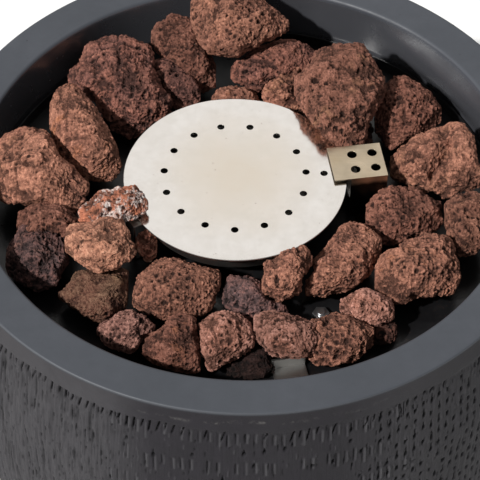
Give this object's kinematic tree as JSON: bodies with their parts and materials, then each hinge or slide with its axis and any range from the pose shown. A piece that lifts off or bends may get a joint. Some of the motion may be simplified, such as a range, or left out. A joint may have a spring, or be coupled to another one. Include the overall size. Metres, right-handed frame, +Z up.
{
  "type": "tabletop gas fire pit",
  "caption": "Round cast-concrete tabletop bowl with a gas burner disc, ignition hood and loose lava rock, lit by a push-and-turn knob and an igniter button.",
  "frame": {"origin": "middle of the bowl's footprint at the underside of the rubber feet", "axes": "+Z up, -Y towards the control panel, +Y towards the gas inlet, +X to the right as seen from the controls"},
  "size_m": [0.428, 0.428, 0.255],
  "materials": {
    "cast_concrete": "matt moulded concrete with a woven imprint",
    "black_steel": "satin heat-proof black",
    "stainless": "brushed, lightly heat tinted",
    "zinc_plated": "zinc plated",
    "spring_steel": "bright drawn",
    "brass": "machined",
    "copper_tube": "drawn copper",
    "cast_alloy": "die cast",
    "white_ceramic": "unglazed",
    "wire_insulation": "silicone sleeve",
    "foot_rubber": "matt",
    "black_plastic": "fine moulded grain",
    "red_plastic": "moulded",
    "lava_tan": "porous lava rock",
    "lava_red": "porous lava rock",
    "lava_dark": "porous lava rock"
  },
  "bodies": {
    "bowl": {"fire_bowl": "cast_concrete", "base_plate": "black_steel", "base_screws": "zinc_plated", "rubber_feet": "foot_rubber", "burner_pan": "black_steel", "pan_clips": "stainless", "pan_screws": "zinc_plated", "stud_nuts": "zinc_plated", "burner_disc": "stainless", "burner_cup": "stainless", "burner_legs": "stainless", "inlet_tube": "zinc_plated", "burner_locknut": "brass", "mixer_tube": "zinc_plated", "gas_jet": "brass", "jet_holder": "brass", "gas_pipe": "copper_tube", "pipe_nuts": "brass", "pilot_hood": "stainless", "hood_screws": "zinc_plated", "pilot_bracket": "stainless", "electrode_ceramic": "white_ceramic", "electrode_pin": "spring_steel", "thermocouple_tip": "spring_steel", "thermocouple_lead": "copper_tube", "thermocouple_nut": "brass", "ignition_wire": "wire_insulation", "heat_shield": "stainless", "shield_posts": "zinc_plated", "control_panel": "stainless", "panel_screws": "zinc_plated", "valve_body": "cast_alloy", "valve_nut": "zinc_plated", "stem_spring": "spring_steel", "igniter_body": "black_plastic", "igniter_nut": "zinc_plated", "igniter_spring": "spring_steel", "gas_inlet": "brass", "inlet_nut": "zinc_plated", "inlet_pipe": "copper_tube", "lava_rock_top": "lava_tan", "lava_rock_tall": "lava_red", "lava_rock_dark": "lava_dark", "lava_rock_orange": "lava_tan", "lava_rock_left": "lava_tan", "lava_rock_hood": "lava_red", "lava_rock_right": "lava_red", "lava_rock_smooth": "lava_tan", "lava_rock_speckled": "lava_red", "lava_rock_purple": "lava_dark", "lava_rock_front": "lava_red", "lava_rock_corner": "lava_tan", "lava_rocks_back": "lava_red", "lava_rocks_side": "lava_red", "lava_rocks_near": "lava_red"},
    "knob_push": {"push_collar": "zinc_plated"},
    "knob_turn": {"control_knob": "black_plastic", "valve_stem": "brass"},
    "igniter_push": {"igniter_button": "red_plastic"},
    "shutter": {"air_shutter": "zinc_plated"}
  },
  "joints": [
    {"name": "knob_push", "type": "slide", "parent": "bowl", "child": "knob_push", "axis": [0, 1, 0], "range_m": [0, 0.004], "stiffness_N_per_m": 500, "springref_m": -0.004, "deforming": ["stem_spring"]},
    {"name": "knob_turn", "type": "hinge", "parent": "knob_push", "child": "knob_turn", "pos_m": [-0.028, -0.2, 0.095], "axis": [0, -1, 0], "range_deg": [0, 180]},
    {"name": "igniter_push", "type": "slide", "parent": "bowl", "child": "igniter_push", "axis": [0, 1, 0], "range_m": [0, 0.006], "stiffness_N_per_m": 600, "springref_m": -0.004, "deforming": ["igniter_spring"]},
    {"name": "shutter_turn", "type": "hinge", "parent": "bowl", "child": "shutter", "pos_m": [-0.007, 0.001, 0.125], "axis": [0, 0, 1], "range_deg": [0, 60]}
  ]
}
